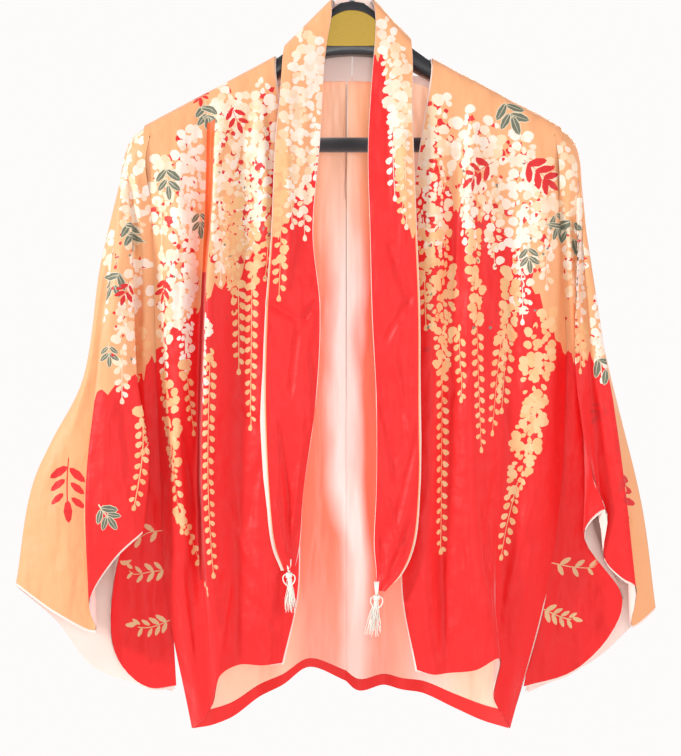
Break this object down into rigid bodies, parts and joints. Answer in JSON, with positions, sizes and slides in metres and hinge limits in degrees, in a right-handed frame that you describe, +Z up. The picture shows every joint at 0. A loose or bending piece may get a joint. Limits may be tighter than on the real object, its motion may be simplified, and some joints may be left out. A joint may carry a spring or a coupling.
{
  "type": "kimono jacket on suit hanger",
  "caption": "Short lined silk kimono jacket with a free scarf collar and tassels, hung open on a suit hanger.",
  "frame": {"origin": "inside top of the hanger's hook, where it rests on a rod", "axes": "+Z up, +X to the right seen from the front, the jacket's open front faces -Y"},
  "size_m": [0.6426, 0.0843, 0.803],
  "materials": {
    "printed_silk": "silk crepe, vermilion and apricot, printed with hanging blossoms",
    "lining_silk": "plain white silk dyed in soft coral bands",
    "tassel_thread": "loose white silk thread",
    "hanger_plastic": "satin black moulded plastic",
    "flock": "matt black flock on the bar",
    "gold_plate": "brushed gold-coloured metal, bare",
    "hook_steel": "plated steel wire"
  },
  "bodies": {
    "root": {"body_left": "printed_silk", "body_right": "printed_silk", "sleeve_left": "printed_silk", "sleeve_right": "printed_silk", "collar_left": "printed_silk", "collar_right": "printed_silk", "hem_band_left": "printed_silk", "hem_band_right": "printed_silk", "back_lining_left": "lining_silk", "back_lining_right": "lining_silk", "facing_left": "lining_silk", "facing_right": "lining_silk", "sleeve_lining_left": "lining_silk", "sleeve_lining_right": "lining_silk", "collar_lining_left": "lining_silk", "collar_lining_right": "lining_silk", "tassel_left": "tassel_thread", "tassel_right": "tassel_thread", "hanger_body": "hanger_plastic", "bar_post_left": "hanger_plastic", "bar_post_right": "hanger_plastic", "trouser_bar": "flock", "hanger_plate": "gold_plate", "hook": "hook_steel"}
  },
  "joints": []
}
